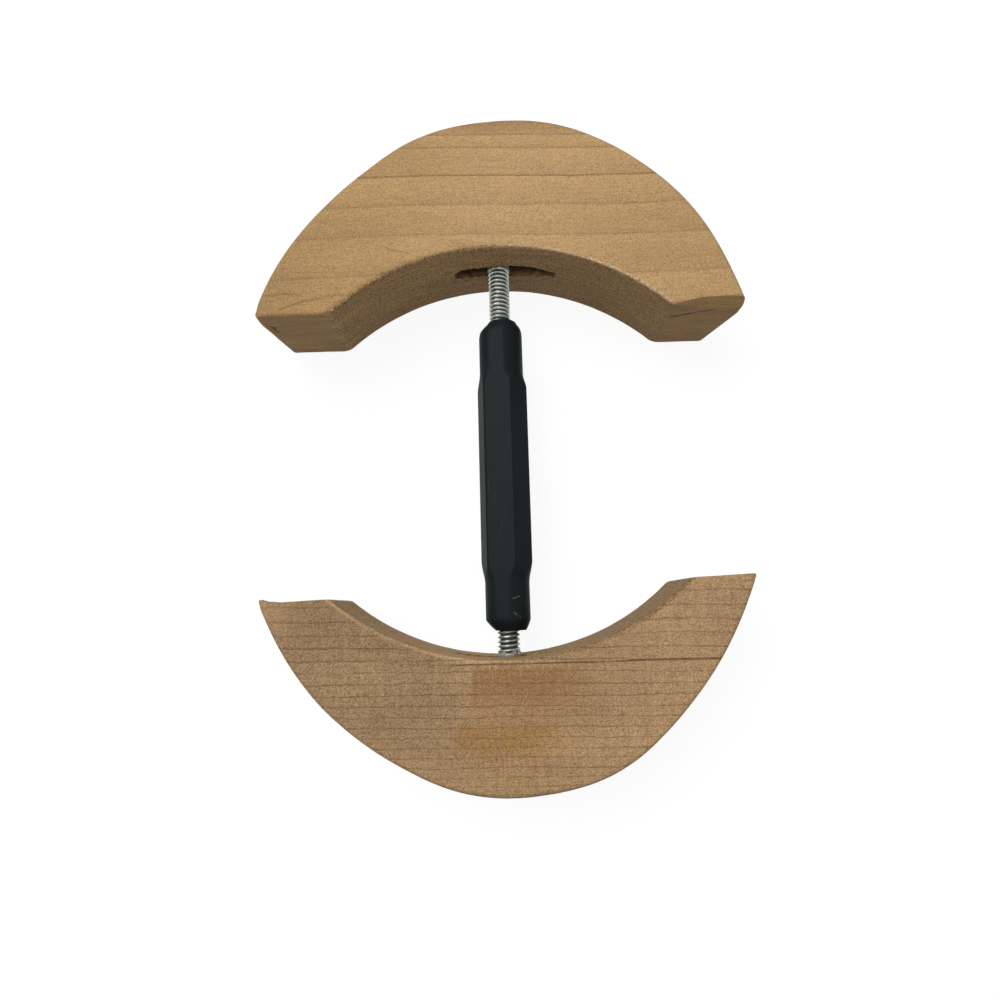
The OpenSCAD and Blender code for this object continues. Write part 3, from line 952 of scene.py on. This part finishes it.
def zinc_steel():
    """Zinc-plated rolled thread: bright on the crests, rougher in the roots and darkened there by painted
    shade.
    """
    material, start = new_material("zinc_steel")
    place = place_mm(start)
    x, _, z = place.split()
    z = z - AXIS_Z
    # Painted shade: the thread's roots are darkened
    shaded_root = 1 - ((x * x + z * z) ** 0.5).ramp(THREAD_ROOT_R, THREAD_CREST_R - 0.15)
    patch = place.stretched(0.8, 0.5, 0.8).noise(3.0)
    grain = place.stretched(6.0, 6.0, 6.0).noise(2.0) - 0.5
    colour = patch.ramp(0.35, 0.65).blend(seen(166, 170, 164), seen(202, 206, 199))
    # Painted shade in the thread's roots
    colour = (shaded_root * 0.92).blend(colour, seen(50, 52, 49))
    surface(start, {"Base Color": colour, "Metallic": 1.0,
                    "Roughness": 0.30 + shaded_root * 0.2 + patch * 0.12}, grain, 0.01)
    return material


def bare_steel(name, light, dark):
    """Plain steel with drawn streaks."""
    material, start = new_material(name)
    place = place_mm(start)
    streak = place.stretched(0.4, 2.5, 2.5).noise(3.0)
    colour = streak.blend(dark, light)
    surface(start, {"Base Color": colour, "Metallic": 1.0, "Roughness": 0.34 + streak * 0.2}, streak, 0.008)
    return material


def clear_glue():
    """Hardened clear glue, a little yellow, glossy and lumpy."""
    material, start = new_material("clear_glue")
    place = place_mm(start)
    lump = place.stretched(1.1, 1.1, 1.1).noise(2.0)
    colour = lump.blend(seen(214, 210, 196), seen(236, 234, 224))
    surface(start, {"Base Color": colour, "Roughness": 0.06 + lump * 0.08, "IOR": 1.48,
                    "Transmission Weight": 0.8}, lump, 0.15)
    return material


def camera_sees(start):
    """1 for rays from the camera and from gloss and glass, 0 for the light that falls on the object."""
    parts = start.node("ShaderNodeLightPath").socket.node.outputs
    names = ("Is Camera Ray", "Is Glossy Ray", "Is Transmission Ray")
    camera, gloss, glass = (Wire(start.tree, parts[name]) for name in names)
    return (camera + gloss + glass).limited()


def white_floor():
    """A pale floor: white to the camera, apart from the object's soft shadow, and dull to the object."""
    material, start = new_material("pale_floor")
    lit = start.node("ShaderNodeBsdfDiffuse", None, {"Color": (0.10, 0.10, 0.10, 1)})
    glow = start.node("ShaderNodeEmission", None, {"Color": (1, 1, 1, 1), "Strength": 0.92})
    shown = start.node("ShaderNodeAddShader", None, {0: lit, 1: glow})
    dull = start.node("ShaderNodeBsdfDiffuse", None, {"Color": (0.20, 0.20, 0.20, 1)})
    mixed = start.node("ShaderNodeMixShader", None, {0: camera_sees(start), 1: dull, 2: shown})
    start.node("ShaderNodeOutputMaterial", None, {"Surface": mixed})
    corners = np.array([
        (side_x * FLOOR_HALF_W, side_y * FLOOR_HALF_W, -FLOOR_DROP)
        for side_x, side_y in ((-1, -1), (1, -1), (1, 1), (-1, 1))])
    mesh = bpy.data.meshes.new("pale_floor")
    mesh.from_pydata((corners * MM).tolist(), [], [(0, 1, 2, 3)])
    mesh.materials.append(material)
    floor = bpy.data.objects.new("pale_floor", mesh)
    bpy.context.scene.collection.objects.link(floor)


def sky():
    """White to the camera, and an even grey light on the object."""
    world = bpy.data.worlds.new("studio")
    world.use_nodes = True
    world.node_tree.nodes.clear()
    start = Wire(world.node_tree)
    level = 0.40 + camera_sees(start) * 0.60
    light = start.node("ShaderNodeBackground", None, {"Color": (1, 1, 1, 1), "Strength": level})
    start.node("ShaderNodeOutputWorld", None, {"Surface": light})
    bpy.context.scene.world = world


def sun(name, toward, strength, spread_deg):
    """A soft lamp far away, in the direction that is given from the object."""
    lamp = bpy.data.lights.new(name, "SUN")
    lamp.energy, lamp.angle = strength, np.radians(spread_deg)
    made = bpy.data.objects.new(name, lamp)
    made.rotation_euler = Vector(toward).to_track_quat("Z", "Y").to_euler()
    bpy.context.scene.collection.objects.link(made)


def photo_camera():
    """The camera at the photograph's viewpoint."""
    lens = bpy.data.cameras.new("photo_camera")
    lens.lens, lens.sensor_width, lens.clip_start = CAMERA_LENS, SENSOR_W, CLIP_START_M
    made = bpy.data.objects.new("photo_camera", lens)
    right = CAMERA_FORWARD.cross(CAMERA_UP).normalized()
    forward = CAMERA_FORWARD.normalized()
    turned = Matrix((right, right.cross(forward), -forward)).transposed().to_4x4()
    made.matrix_world = Matrix.Translation(CAMERA_AT * MM) @ turned
    bpy.context.scene.collection.objects.link(made)
    bpy.context.scene.camera = made


bpy.context.scene.view_settings.view_transform = "Standard"
photo_camera()
sky()
white_floor()
sun("window_light", toward=(-0.38, 0.42, 0.82), strength=2.2, spread_deg=40)

woods = {"front": front_wood(), "rear": rear_wood()}
zinc = zinc_steel()
pin_steel = bare_steel("pin_steel", seen(150, 152, 152), seen(96, 98, 98))
glue = clear_glue()
for end, block in (("front", FRONT), ("rear", REAR)):
    body, seed = f"{end}_half", block["seed"]
    wood = crescent(f"{end}_crescent", block)
    carve(wood, hole_cutter(block), slot_cutter(block, seed + 5))
    dress(wood, woods[end], body, f"{end}_block")
    rod = threaded_rod(f"{end}_thread", f"{end}_rod", block["hand"])
    dress(rod, zinc, body, f"{end}_rod")
    pin = cross_pin(f"{end}_pin", f"{end}_cross_pin", seed)
    dress(pin, pin_steel, body, f"{end}_cross_pin")
    ring = glue_ring(f"{end}_glue_ring", f"{end}_glue", block, seed + 9)
    dress(ring, glue, body, f"{end}_glue")
dress(sleeve(), black_plastic(), "sleeve", "turnbuckle_sleeve")
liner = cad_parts["thread_liner"].data.materials
liner.clear()
liner.append(bare_steel("liner_steel", seen(150, 152, 154), seen(104, 106, 108)))
